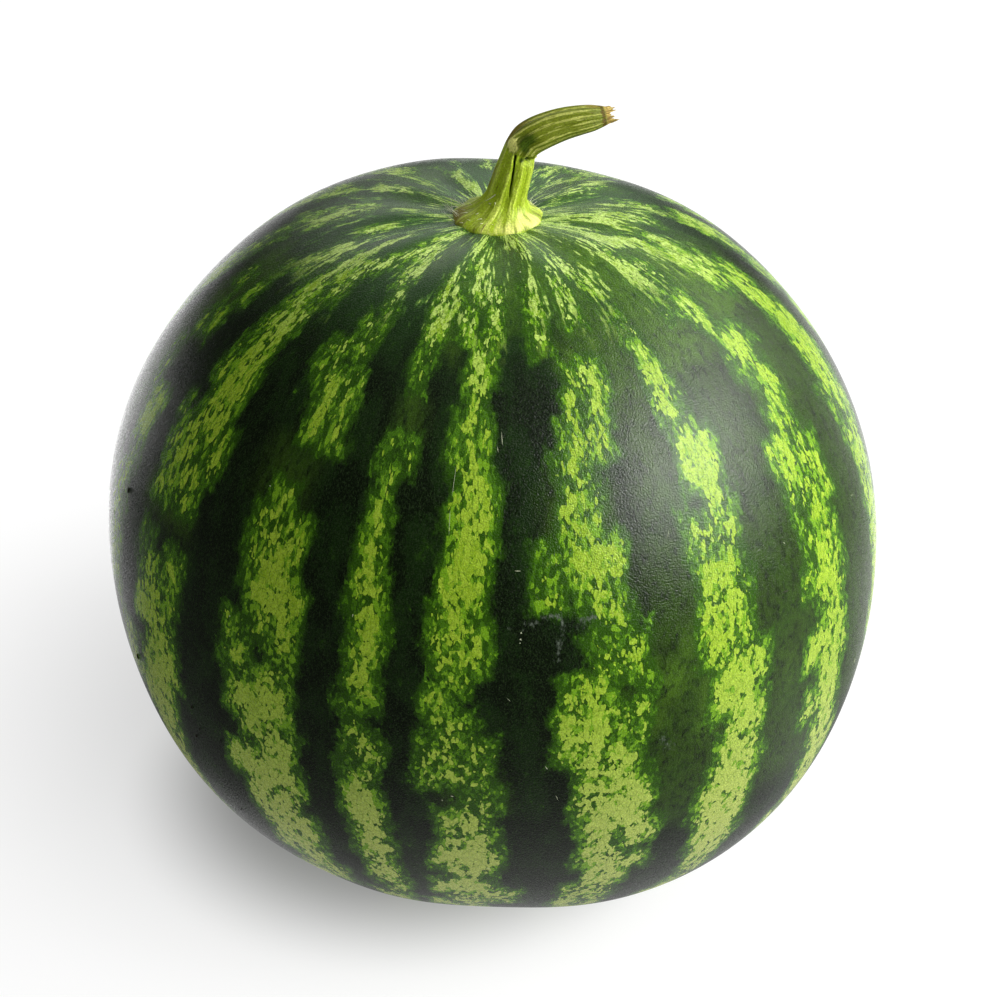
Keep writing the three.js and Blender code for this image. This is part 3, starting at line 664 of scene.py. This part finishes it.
# A leathery grain under the wax, seen in the highlight.
on_rind = peel.in_mm()
grain_light = peel.noise(on_rind, 0.45, 3).off(1.4) + 1
leather = peel.noise(on_rind, 0.5)
peel.surface({
    "Base Color": peel.vector_work("MULTIPLY", colour, grain_light),
    "IOR": WAX_IOR,
    "Roughness": peel.add("MapRange", 0, {"Value": leather, "From Min": 0.35, "From Max": 0.65,
                                          "To Min": SMOOTHEST, "To Max": ROUGHEST}),
    "Normal": peel.add("Bump", 0, {"Strength": 1, "Distance": SKIN_RELIEF * MM, "Height": leather}),
})
rind.data.materials.append(peel.material)
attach(rind, "root")
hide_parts("fruit")


# ---- Rind: small marks ----
# Healed pricks and hair-fine scratches, pale and corky, and a few dark scabs. They are dry tissue that
# grew in the skin and stands a little proud of it.

CORKY_COLOUR = (0.560, 0.600, 0.400, 1)
SCAB_COLOUR = (0.016, 0.012, 0.005, 1)
STRAND_SIDES = 5
ANY_WAY = np.array([0.3, 0.9, 0.2])

# Azimuth from the front and angle from the crown in degrees, length and half width in mm, and turn from
# straight down, to the right, in degrees.
CORKY_MARKS = [
    (2.0, 45.1, 3.8, 0.11, 3), (3.9, 62.8, 1.8, 0.14, 85), (-6.3, 51, 8.5, 0.05, -4),
    (-6.6, 56.5, 7, 0.05, 1), (4.2, 71.2, 0.5, 0.26, 0), (4.1, 72.1, 0.6, 0.24, 50),
    (4.0, 72.6, 0.4, 0.18, 0), (11.2, 18.2, 0.5, 0.26, 0), (1.2, 46.6, 1.6, 0.10, 10),
    (7.5, 92, 1.4, 0.12, 30), (-40.5, 76.5, 0.5, 0.2, 0), (28, 61, 2.4, 0.09, -30),
]
SCABS = [
    (-48.8, 95.5, 1.2, 0.34, 20), (-49.2, 101.2, 1.6, 0.38, -10), (-47.8, 99, 0.8, 0.3, 0),
    (-67, 97.2, 2.2, 0.45, 10), (-73, 72, 2, 0.35, 5), (47, 75.4, 3, 0.22, 80), (20, 33, 0.9, 0.24, 40),
]
marking = np.random.default_rng(21)
for marks, count, longest, widest in [(CORKY_MARKS, 34, 2.4, 0.13), (SCABS, 16, 1.3, 0.26)]:
    for _ in range(count):
        marks.append((marking.uniform(0, 360), math.degrees(math.acos(marking.uniform(-0.9, 0.9))),
                      marking.uniform(0.3, longest), marking.uniform(0.07, widest), marking.uniform(-90, 90)))


def strand(path, radii):
    """One thin closed tube for tube_piece: its path in mm and its radius all along the path."""
    heading = np.gradient(path, axis=0)
    heading /= np.linalg.norm(heading, axis=1)[:, None]
    side = np.cross(heading, ANY_WAY)
    side /= np.linalg.norm(side, axis=1)[:, None]
    over = np.cross(side, heading)
    corners = np.arange(STRAND_SIDES)[:, None] * 2 * math.pi / STRAND_SIDES
    spokes = side[:, None] * np.cos(corners) + over[:, None] * np.sin(corners)
    rings = path[:, None] + spokes * radii[:, None, None]
    return path[0] - heading[0] * radii[0], rings, path[-1] + heading[-1] * radii[-1]


def plain_finish(name, colour, roughness):
    """A material of one colour, for pieces too fine to show more."""
    finish = Finish(name)
    finish.surface({"Base Color": colour, "Roughness": roughness})
    return finish.material


def on_skin(front, polar, length, half_width, turn):
    """A short path along the skin, with a radius that swells in the middle."""
    steps = np.linspace(-0.5, 0.5, max(4, math.ceil(length)))
    down = steps * length * cosine(turn) / MM_PER_DEGREE
    right = steps * length * sine(turn) / MM_PER_DEGREE / sine(polar)
    return skin_points(polar + down, front - 90 + right), half_width * np.sqrt(1.05 - 4 * steps ** 2)


for name, marks, material in [
    ("corky_marks", CORKY_MARKS, plain_finish("corky_mark", CORKY_COLOUR, 0.7)),
    ("scabs", SCABS, plain_finish("scab", SCAB_COLOUR, 0.6)),
]:
    piece = tube_piece(name, [strand(*on_skin(*mark)) for mark in marks])
    piece.data.materials.append(material)
    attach(piece, "root")


# ---- Stalk: its shape ----
# The ribbed vine stalk that the fruit hung from, kinked to the right when it was torn off, with the slit,
# creases and blister that the kink left, its spread foot on the crown and its frayed, hollow end.

# Root to torn end, in mm from the middle of the foot at the skin: place, lean from upright and compass
# turn of that lean in degrees, half width in the plane of the bend and half width square to it.
STALK_STATIONS = np.array([
    (0, 0, -4.8, 0, 0, 10.6, 10.4), (0, 0, -2.8, 0, 0, 13.4, 13.1), (0, 0, -0.7, 0, 0, 14.1, 13.8),
    (0, 0, 0.6, 0, 0, 13.8, 13.5), (0.3, 0, 1.8, 1, 0, 12.0, 11.8), (1.1, 0, 3, 3, 0, 9.4, 9.3),
    (2, 0, 4.8, 6, 0, 7.5, 7.4), (2.7, 0, 7, 9, 0, 6.3, 6.3), (3.7, 0, 10.5, 12, 0, 5.9, 5.9),
    (4.8, 0, 14.5, 13, 0, 5.7, 5.7), (5.8, 0, 18, 14, 0, 5.4, 5.4), (6.5, 0, 20.8, 19, 2, 5.1, 5.1),
    (7.5, 0.1, 23.4, 32, 5, 5, 5.2), (9.5, 0.4, 25.9, 50, 8, 5.3, 5.5), (12.8, 1, 27.9, 61, 11, 5.3, 5.4),
    (16.8, 1.8, 29.4, 69, 11, 5.1, 5.1), (20.9, 2.6, 30.5, 75, 11, 4.8, 4.8),
    (25.2, 3.4, 31.2, 80, 11, 4.4, 4.5), (29.2, 4.2, 31.6, 81, 11, 3.9, 4),
    (32.3, 4.9, 31.9, 80, 11, 3.1, 3.3), (34.1, 5.2, 32.1, 80, 11, 2.5, 2.7),
])
STALK_SIDES = 216
RINGS_PER_STATION = 14
FOOT_RADIUS = 14
RIB_COUNT = 9
RIB_PHASE = 18
RIB_DEPTH = 0.055
RIBS_FULL_AT = 7
FINE_RIB_COUNT = 14
FIBRE_COUNT = 37
FIBRE_HEIGHT = 0.05
FRAY_COUNT = 26
PITH_DEPTH = 1.7
TO_THE_FRONT = np.array([0, -1, 0])

# The slit: its depth in mm, the stations and angles at its ends, and its spread in degrees.
SLIT_DEPTH = 2.6
SLIT_BOTTOM = 7.5
SLIT_TOP = 11.6
SLIT_BOTTOM_ANGLE = 5
SLIT_TOP_ANGLE = -20
SLIT_SPREAD = 3.5

# The stations where the foot's rim and the foot end, where the bent arm starts, where the brown ring lies
# and where the torn end starts.
RIM_END = 3.1
FOOT_END = 6.5
ARM_START = 11.4
RING_AT = 19.1
TORN_START = 19.25

seat_polar = np.full(4, math.degrees(math.atan2(FOOT_RADIUS, CROWN_HEIGHT)))
seat_height = skin_points(seat_polar, np.array([0.0, 90.0, 180.0, 270.0]))[:, 2].mean()
seat = np.array([CROWN_LEAN[0], CROWN_LEAN[1], seat_height])

last_station = len(STALK_STATIONS) - 1
stations = np.linspace(0, last_station, last_station * RINGS_PER_STATION + 1)


def along_stations(station):
    """The stalk's measures at any station, on a smooth curve through all of them."""
    i = np.minimum(station.astype(int), last_station - 1)
    t = (station - i)[:, None]
    before, a, b, after = (STALK_STATIONS[np.clip(i + n, 0, last_station)] for n in (-1, 0, 1, 2))
    bend = 2 * before - 5 * a + 4 * b - after
    return (2 * a + (b - before) * t + bend * t ** 2 + (after - before + 3 * (a - b)) * t ** 3) / 2


measures = along_stations(stations)
centres = measures[:, :3] + seat
ahead = direction(measures[:, 3], measures[:, 4])
near = TO_THE_FRONT - ahead * (ahead @ TO_THE_FRONT)[:, None]
near /= np.linalg.norm(near, axis=1)[:, None]
under = np.cross(ahead, near)

# Angles round the stalk run from the near side, 0, by the under side, 90, to the far side and the top.
slit_share = np.clip((stations - SLIT_BOTTOM) / (SLIT_TOP - SLIT_BOTTOM), 0, 1)
slit_angles = SLIT_BOTTOM_ANGLE + (SLIT_TOP_ANGLE - SLIT_BOTTOM_ANGLE) * slit_share
even = np.arange(STALK_SIDES) * 2 * math.pi / STALK_SIDES
angles = slit_angles[:, None] + np.degrees(even - 0.45 * np.sin(even))[None, :]
station_grid = np.repeat(stations[:, None], STALK_SIDES, 1)


def angle_from(angle):
    """How far each point of the stalk is from this angle, in degrees."""
    return np.abs((angles - angle + 180) % 360 - 180)


def spots(places):
    """The sum of soft spots: station, angle, height, length in stations and width in degrees."""
    total = np.zeros_like(angles)
    for station, angle, height, length, width in places:
        total += height * fade(station_grid - station, length) * fade(angle_from(angle), width)
    return total


# Dents and bulges of the buckled skin.
lift = spots([(11.35, 40, -1.9, 0.5, 28), (12.3, -42, 1.1, 0.5, 28), (11.8, 80, 0.7, 0.35, 24),
              (13.0, 20, -0.9, 0.7, 30), (3.6, 30, 0.5, 1.0, 14), (3.2, 352, 0.4, 1.0, 12),
              (3.4, 68, 0.4, 1.0, 12)])
open_share = np.where(slit_share < 1, np.sqrt(slit_share), 0)[:, None]
slit_field = open_share * fade(angle_from(slit_angles[:, None]), SLIT_SPREAD)
lift -= SLIT_DEPTH * slit_field
rib_wave = cosine(RIB_COUNT * (angles - RIB_PHASE))
rib_growth = RIB_DEPTH * smooth(stations / RIBS_FULL_AT)[:, None]
fibre_wave = cosine(FIBRE_COUNT * angles + 40 * np.sin(station_grid * 0.9))
lift += FIBRE_HEIGHT * fibre_wave * smooth((stations - 1) / 3)[:, None]
across = measures[:, 5:6] * (1 + rib_growth * rib_wave) + lift
deep = measures[:, 6:7] * (1 + rib_growth * rib_wave) + lift
stalk_rings = (centres[:, None] + near[:, None] * (deep * cosine(angles))[..., None]
               + under[:, None] * (across * sine(angles))[..., None])

# The frayed end: teeth of torn fibre round a hollow of dry pith.
teeth = np.zeros(STALK_SIDES)
for angle, reach, spread in [(205, 1.7, 26), (292, 2.0, 30), (118, 1.0, 22), (40, 2.6, 20)]:
    teeth += reach * fade(angle_from(angle)[-1], spread)
fraying = np.random.default_rng(5)
for _ in range(FRAY_COUNT):
    teeth += fraying.uniform(0.15, 0.9) * fade(angle_from(fraying.uniform(0, 360))[-1], fraying.uniform(3, 9))
stalk_rings[-1] += ahead[-1] * teeth[:, None]
end_centre = centres[-1]
inside = []
for inward, sink in [(0.80, 0.15), (0.68, 0.9), (0.45, 1.5), (0.2, PITH_DEPTH)]:
    ring = end_centre + (stalk_rings[-1] - end_centre) * inward
    flat = ((ring - end_centre) @ ahead[-1])[:, None] * ahead[-1]
    inside.append(ring - flat + (teeth[:, None] * inward ** 3 - sink) * ahead[-1])
stalk_surface = np.concatenate([stalk_rings, np.array(inside)])
stalk = tube_piece("stalk_skin", [(end_centre - PITH_DEPTH * ahead[-1], stalk_surface[::-1], centres[0])])

run = np.concatenate([[0], np.cumsum(np.linalg.norm(np.diff(centres, axis=0), axis=1))])

# Where the noise of the finish is looked up: round a column of even radius, and squeezed along it, so that
# spots of noise become long fibres.
COLUMN_RADIUS = 6
FIBRE_SQUEEZE = 0.14
fibres = on_column(COLUMN_RADIUS, angles, FIBRE_SQUEEZE * np.repeat(run[:, None], STALK_SIDES, 1))
paint(stalk, "grain", fibres[-1, 0], np.concatenate([fibres, fibres[[-1] * len(inside)]])[::-1], fibres[0, 0])

# How strong each tone of the finish is at every point.
arm_tone = smooth((station_grid - ARM_START) / 0.5)
foot_tone = smooth((FOOT_END - station_grid) / 3.5)
fine_ribs = smooth(0.5 + 0.5 * cosine(FINE_RIB_COUNT * (angles - RIB_PHASE))) ** 1.5
ribs = (0.5 + 0.5 * rib_wave) * (1 - arm_tone) + fine_ribs * arm_tone
# Pale: the blister, a pale bit at the inner corner of the kink, and painted highlights on the foot's bulges
# that face the light, to the front and right.
pale_and_highlight_tone = spots([(12.1, 316, 2.2, 0.42, 19), (11.7, 76, 1.1, 0.35, 18), (4.4, 40, 0.8, 1.5, 30),
                   (3.2, 8, 0.4, 1.6, 22), (3.4, 64, 0.5, 1.0, 20)])
# Painted shade, in dark green: in the slit, in the hollow of the kink, at the root of the bent arm and along
# its under side.
painted_shade_tone = spots([(13.0, 341, 1.05, 0.65, 29), (12.4, 2, 0.8, 0.4, 20), (13.6, 350, 0.4, 0.6, 20),
                   (11.4, 38, 1.1, 0.28, 20), (11.2, 8, 1.0, 0.35, 12), (7.6, 318, 0.2, 0.6, 18),
                   (16, 62, 0.8, 4, 24)]) + slit_field * 1.6
dry_tone = spots([(3.4, 280, 1.0, 1.8, 30), (8.5, 262, 0.8, 2.5, 18), (12.6, 272, 1.1, 1.2, 20),
                  (16.0, 262, 0.5, 2.5, 20), (18.4, 262, 0.9, 0.9, 40), (1.0, 300, 0.4, 1.5, 45)])
end_tone = smooth((station_grid - TORN_START) / 0.4)
end_ring = fade(station_grid - RING_AT, 0.32)
rim_tone = smooth((RIM_END - station_grid) / 1.1)

# Each tone goes on with one value for all of the hollow, and one for the root.
hollow_rows = np.ones((len(inside), STALK_SIDES))
for name, tone, hollow, root in [
    ("ribs", ribs, 0.5, 0.5), ("pale", pale_and_highlight_tone, 0, 0), ("painted_shade", painted_shade_tone, 0.3, 0), ("dry", dry_tone, 1, 0),
    ("torn", end_tone, 1, 0), ("ring", end_ring, 0, 0), ("arm", arm_tone, 1, 0), ("foot", foot_tone, 0, 1),
    ("rim", rim_tone, 0, 1),
]:
    paint(stalk, name, hollow, np.concatenate([tone, hollow_rows * hollow])[::-1], root)


# ---- Stalk: its finish ----
# Fleshy green vine, yellower and paler towards the foot, olive with light ribs on the bent part, dry and
# brown where it scraped, with long fine fibres under a matte skin and straw-coloured pith at the torn end.
# Shade in the slit, in the kink's hollow and under the bent arm is painted in dark green, and highlights on
# the bulges of the foot that face the light are painted in pale yellow.

COLUMN_GREEN = (0.390, 0.530, 0.022, 1)
RIB_LIGHT = (0.590, 0.730, 0.085, 1)
ARM_GREEN = (0.170, 0.215, 0.009, 1)
ARM_RIB = (0.460, 0.490, 0.105, 1)
PAINTED_SHADE_GREEN = (0.044, 0.080, 0.001, 1)
BLISTER_AND_HIGHLIGHT = (0.980, 0.980, 0.280, 1)
RIM_GREEN = (0.280, 0.420, 0.020, 1)
FOOT_CREAM = (0.640, 0.710, 0.200, 1)
FOOT_SHADE = (0.210, 0.250, 0.025, 1)
DRY_BROWN = (0.260, 0.225, 0.035, 1)
RING_BROWN = (0.130, 0.095, 0.008, 1)
STRAW = (0.640, 0.480, 0.120, 1)
STRAW_SHADE = (0.230, 0.150, 0.022, 1)
STALK_IOR = 1.30
STALK_ROUGHNESS = 0.42
STALK_RELIEF = 0.4

vine = Finish("stalk")
along = vine.stored("grain", "Vector")
foot = vine.stored("foot")
streaks = vine.noise(along, 0.9, 3)
hairlines = vine.noise(along, 0.35)
rib_share = (vine.stored("ribs") + streaks.off(2.2) + hairlines.off(1.2)).between(0.62, 1.02)
column = vine.mix(rib_share, COLUMN_GREEN, RIB_LIGHT)
arm = vine.mix(rib_share, ARM_GREEN, ARM_RIB)
straw = vine.mix(hairlines.between(0.40, 0.58), STRAW_SHADE, STRAW)
colour = vine.mix(vine.stored("arm"), column, arm)
for share, layer in [
    (foot * hairlines.between(0.44, 0.72), FOOT_CREAM),
    (foot * streaks.between(0.50, 0.34), FOOT_SHADE),
    ((vine.stored("rim") + hairlines.off(1.6)).between(0.35, 1.15), RIM_GREEN),
    # The blister, and painted highlights on the foot.
    ((vine.stored("pale") + streaks.off(2.4)).between(0.25, 0.95), BLISTER_AND_HIGHLIGHT),
    (vine.worn_share(along, vine.stored("dry"), 0.6), DRY_BROWN),
    # Painted shade in the slit, the kink's hollow and under the bent arm.
    ((vine.stored("painted_shade") + streaks.off(0.9)).between(0.10, 1.00), PAINTED_SHADE_GREEN),
    ((vine.stored("ring") + streaks.off(1.5) + hairlines.off(2)).between(0.35, 0.75), RING_BROWN),
    (vine.stored("torn"), straw),
]:
    colour = vine.mix(share, colour, layer)
mottle = vine.noise(vine.in_mm(), 0.55, 3)
vine.surface({
    "Base Color": vine.vector_work("MULTIPLY", colour, mottle.off(1.5) + 1),
    "IOR": STALK_IOR,
    "Roughness": STALK_ROUGHNESS,
    "Normal": vine.add("Bump", 0, {"Strength": 0.8, "Distance": STALK_RELIEF * MM,
                                   "Height": streaks + mottle * 0.6}),
})
stalk.data.materials.append(vine.material)
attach(stalk, "root")
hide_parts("stalk")


# ---- Dry fibres of the stalk ----
# Thin dry threads that split off the outer skin of the stalk where it spreads on to the fruit: papery,
# straw-white, curled, each still grown to the foot at one end. Most are on the left of the foot.

THREAD_COLOUR = (0.860, 0.860, 0.640, 1)
THREAD_RADIUS = 0.075
THREAD_STEPS = 7
UPRIGHT = np.array([0, 0, 1.0])
splitting = np.random.default_rng(8)


def thread(station, angle, length, rise, turn, curl, thickness=1):
    """Path and radii of one thread from a place on the stalk's skin, rising and turning as it goes."""
    row = int(station * RINGS_PER_STATION)
    start = stalk_rings[row, int(np.argmin(angle_from(angle)[row]))]
    outward = start - centres[row]
    outward[2] = 0
    outward /= np.linalg.norm(outward)
    beside = np.cross(UPRIGHT, outward)
    level = outward * math.cos(turn) + beside * math.sin(turn)
    heading = level * math.cos(rise) + UPRIGHT * math.sin(rise)
    aside = np.cross(heading, UPRIGHT) * curl[0] + UPRIGHT * curl[1]
    steps = np.linspace(0, 1, THREAD_STEPS)
    path = start + length * (heading * steps[:, None] + aside * (steps ** 2)[:, None])
    return path, THREAD_RADIUS * thickness * (1.15 - steps)


# How many there are between two angles round the foot, and the shortest and longest in mm.
TUFTS = [
    (34, 236, 288, 2.0, 5.0), (7, 288, 345, 0.8, 1.8), (5, 345, 410, 0.6, 1.4), (14, 70, 125, 1.0, 2.8),
    (10, 125, 236, 1.0, 3.0),
]
threads = []
for count, first_angle, last_angle, shortest, longest in TUFTS:
    for _ in range(count):
        threads.append((splitting.uniform(1.6, 5.2), splitting.uniform(first_angle, last_angle),
                        splitting.uniform(shortest, longest), splitting.uniform(-0.1, 0.9),
                        splitting.uniform(-0.9, 0.9), splitting.uniform(-0.4, 0.4, 2)))
# Three thicker ones higher up, two of which cross like a V.
threads += [(7.5, 316, 4.6, -0.75, -0.9, (0.05, 0.15), 2.6), (6.5, 312, 3.4, 0.5, 0.9, (-0.1, -0.1), 2.6),
            (6.9, 326, 2.8, 0.2, 0.8, (0.2, 0), 2.0)]
foot_threads = tube_piece("foot_threads", [strand(*thread(*one)) for one in threads])
foot_threads.data.materials.append(plain_finish("dry_thread", THREAD_COLOUR, 0.6))
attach(foot_threads, "root")


# ---- Table, light and camera ----
# A plain white table that stands in a pale room, under a soft window light from the right, with a pale wall
# behind and a ceiling above. The camera looks down on the fruit from in front.

FRONT = Vector((float(frame_shift[0]) * MM, float(frame_shift[1]) * MM, EQUATOR_HEIGHT * MM))
TABLE_SIZE = 3.0
TABLE_LIGHT = 0.86
MIRRORED_LIGHT = 0.07
UNDER_LIGHT = 0.11
SHADE_STRENGTH = 0.43
TABLE_GREY = (0.46, 0.46, 0.46, 1)
SEEN_GREY = (0.22, 0.22, 0.22, 1)
BLACK = (0, 0, 0, 1)
WHITE = (1, 1, 1, 1)
ROOM_GREY = (0.04, 0.04, 0.04, 1)

corners = [(x * TABLE_SIZE, y * TABLE_SIZE, 0) for x, y in [(-1, -1), (1, -1), (1, 1), (-1, 1)]]
table_mesh = bpy.data.meshes.new("table")
table_mesh.from_pydata(corners, [], [(0, 1, 2, 3)])
table = bpy.data.objects.new("table", table_mesh)
bpy.context.scene.collection.objects.link(table)

cloth = Finish("table")
spot = cloth.add("NewGeometry", "Position", {})


def away_from(x, y):
    """How far a point of the table is from this one, in metres."""
    return cloth.add("VectorMath", "Value", {0: spot, 1: (x, y, 0)}, operation="DISTANCE")


# The soft shadow that the eye sees: a narrow one close under the fruit and a wide one behind it, each
# round a point of the table, from where it starts to where it is full. All are in metres.
near_shade = away_from(-0.032, 0.018).between(0.106, 0.051) * SHADE_STRENGTH
wide_shade = away_from(-0.040, 0.093).between(0.207, 0.007) * SHADE_STRENGTH
seen_glow = TABLE_LIGHT - near_shade - wide_shade

# What the skin mirrors of the table: light patches, each with a strength and the bands that bound it. A band
# runs from where the patch starts to where it is full: in metres from the middle of the fruit, or as the
# share, -1 to 1, of the way that goes to the right or to the back.
away = away_from(0, 0)
right = spot.part(0) / away
back_share = spot.part(1) / away
sideways = cloth.work("ABSOLUTE", right)
mirrored_glow = MIRRORED_LIGHT
for strength, bands in [
    (0.08, [(away, 0.26, 0.15)]),
    (0.30, [(away, 0.26, 0.15), (right, -0.8, -0.1), (right, 1.4, 0.2)]),
    (0.50, [(away, 0.14, 0.10), (sideways, 0.3, 1.3)]),
    (0.20, [(right, 0.3, 0.8), (back_share, -0.6, 0.1)]),
    (0.50, [(right, 0.80, 0.93), (back_share, 0.12, -0.15), (away, 0.60, 0.40), (away, 0.11, 0.20)]),
    (0.80, [(back_share, 0.32, 0.56), (away, 0.42, 0.26)]),
    (1.30, [(back_share, 0.62, 0.71), (away, 1.30, 0.50), (away, 0.09, 0.24)]),
    (1.10, [(back_share, 0.62, 0.71), (away, 1.30, 0.50), (away, 0.09, 0.24), (right, 0.5, -0.5)]),
]:
    patch = strength
    for value, start, full in bands:
        patch = value.between(start, full) * patch
    mirrored_glow = patch + mirrored_glow

# The eye, the mirroring skin and the light that the table throws up on the fruit each get their own glow.
looked_at = cloth.add("LightPath", "Is Camera Ray", {})
mirrored = cloth.add("LightPath", "Is Glossy Ray", {})
under_glow = away.between(0.35, 0.15) * 0.32 + UNDER_LIGHT
glow = cloth.add("Mix", 0, {0: looked_at, 2: under_glow, 3: seen_glow})
glow = cloth.add("Mix", 0, {0: mirrored, 2: glow, 3: mirrored_glow})
cloth.surface({
    "Base Color": cloth.mix(mirrored, cloth.mix(looked_at, TABLE_GREY, SEEN_GREY), BLACK),
    "Emission Color": cloth.add("CombineColor", 0, {0: glow, 1: glow, 2: glow}),
    "Emission Strength": 1,
    "Roughness": 0.9,
    "Specular IOR Level": 0.1,
})
table_mesh.materials.append(cloth.material)


def toward(azimuth, elevation):
    """A direction by its angle from the front, positive to the right, and its height, in degrees."""
    return Vector(direction(90 - elevation, azimuth - 90))


def softbox(name, azimuth, elevation, distance, width, height, radiance):
    """A rectangle of even light that faces the fruit. Angles are in degrees and sizes in metres."""
    light = bpy.data.lights.new(name, "AREA")
    light.shape = "RECTANGLE"
    light.size = width
    light.size_y = height
    light.energy = radiance * math.pi * width * height
    lamp = bpy.data.objects.new(name, light)
    bpy.context.scene.collection.objects.link(lamp)
    lamp.location = FRONT + toward(azimuth, elevation) * distance
    lamp.rotation_euler = toward(azimuth, elevation).to_track_quat("Z", "Y").to_euler()
    return lamp


softbox("window", 73, 29, 1.4, 0.7, 0.62, 9)
softbox("glint", 71, 32, 1.38, 0.70, 0.46, 7).visible_diffuse = False
softbox("glint_core", 61, 28, 1.36, 0.42, 0.34, 4.5).visible_diffuse = False
softbox("bay", 92, 34, 1.45, 2.5, 0.78, 3.7)
softbox("wall", 180, 29, 1.5, 1.2, 1.05, 1.2)
softbox("ceiling", 0, 90, 1.6, 1.6, 1.6, 0.15)
softbox("fill", -45, 58, 1.5, 1.4, 1.4, 0.9).visible_glossy = False

# The room sends a little grey light into the shadows, and behind the table the eye sees plain white.
world = bpy.data.worlds.new("room")
bpy.context.scene.world = world
world.use_nodes = True
room = Nodes(world.node_tree)
room_light = world.node_tree.nodes["Background"]
room.give(room_light, {"Color": ROOM_GREY})
backdrop = room.add("Background", 0, {"Color": WHITE})
which = {0: room.add("LightPath", "Is Camera Ray", {}), 1: Value(room, room_light.outputs[0]), 2: backdrop}
room.give(world.node_tree.nodes["World Output"], {"Surface": room.add("MixShader", 0, which)})

CAMERA_DISTANCE = 1.0
CAMERA_ELEVATION = 32
CAMERA_AIM = (0.0030, 0.0123)
CAMERA_SENSOR = 36
CAMERA_LENS = 107.46
camera_data = bpy.data.cameras.new("camera")
camera_data.sensor_width = CAMERA_SENSOR
camera_data.lens = CAMERA_LENS
camera = bpy.data.objects.new("camera", camera_data)
bpy.context.scene.collection.objects.link(camera)
back = toward(0, CAMERA_ELEVATION)
upward = Vector((0, back.z, -back.y))
camera.location = FRONT + back * CAMERA_DISTANCE
aim = FRONT + Vector((CAMERA_AIM[0], 0, 0)) + upward * CAMERA_AIM[1]
camera.rotation_euler = (camera.location - aim).to_track_quat("Z", "Y").to_euler()
bpy.context.scene.camera = camera
bpy.context.scene.view_settings.view_transform = "Standard"
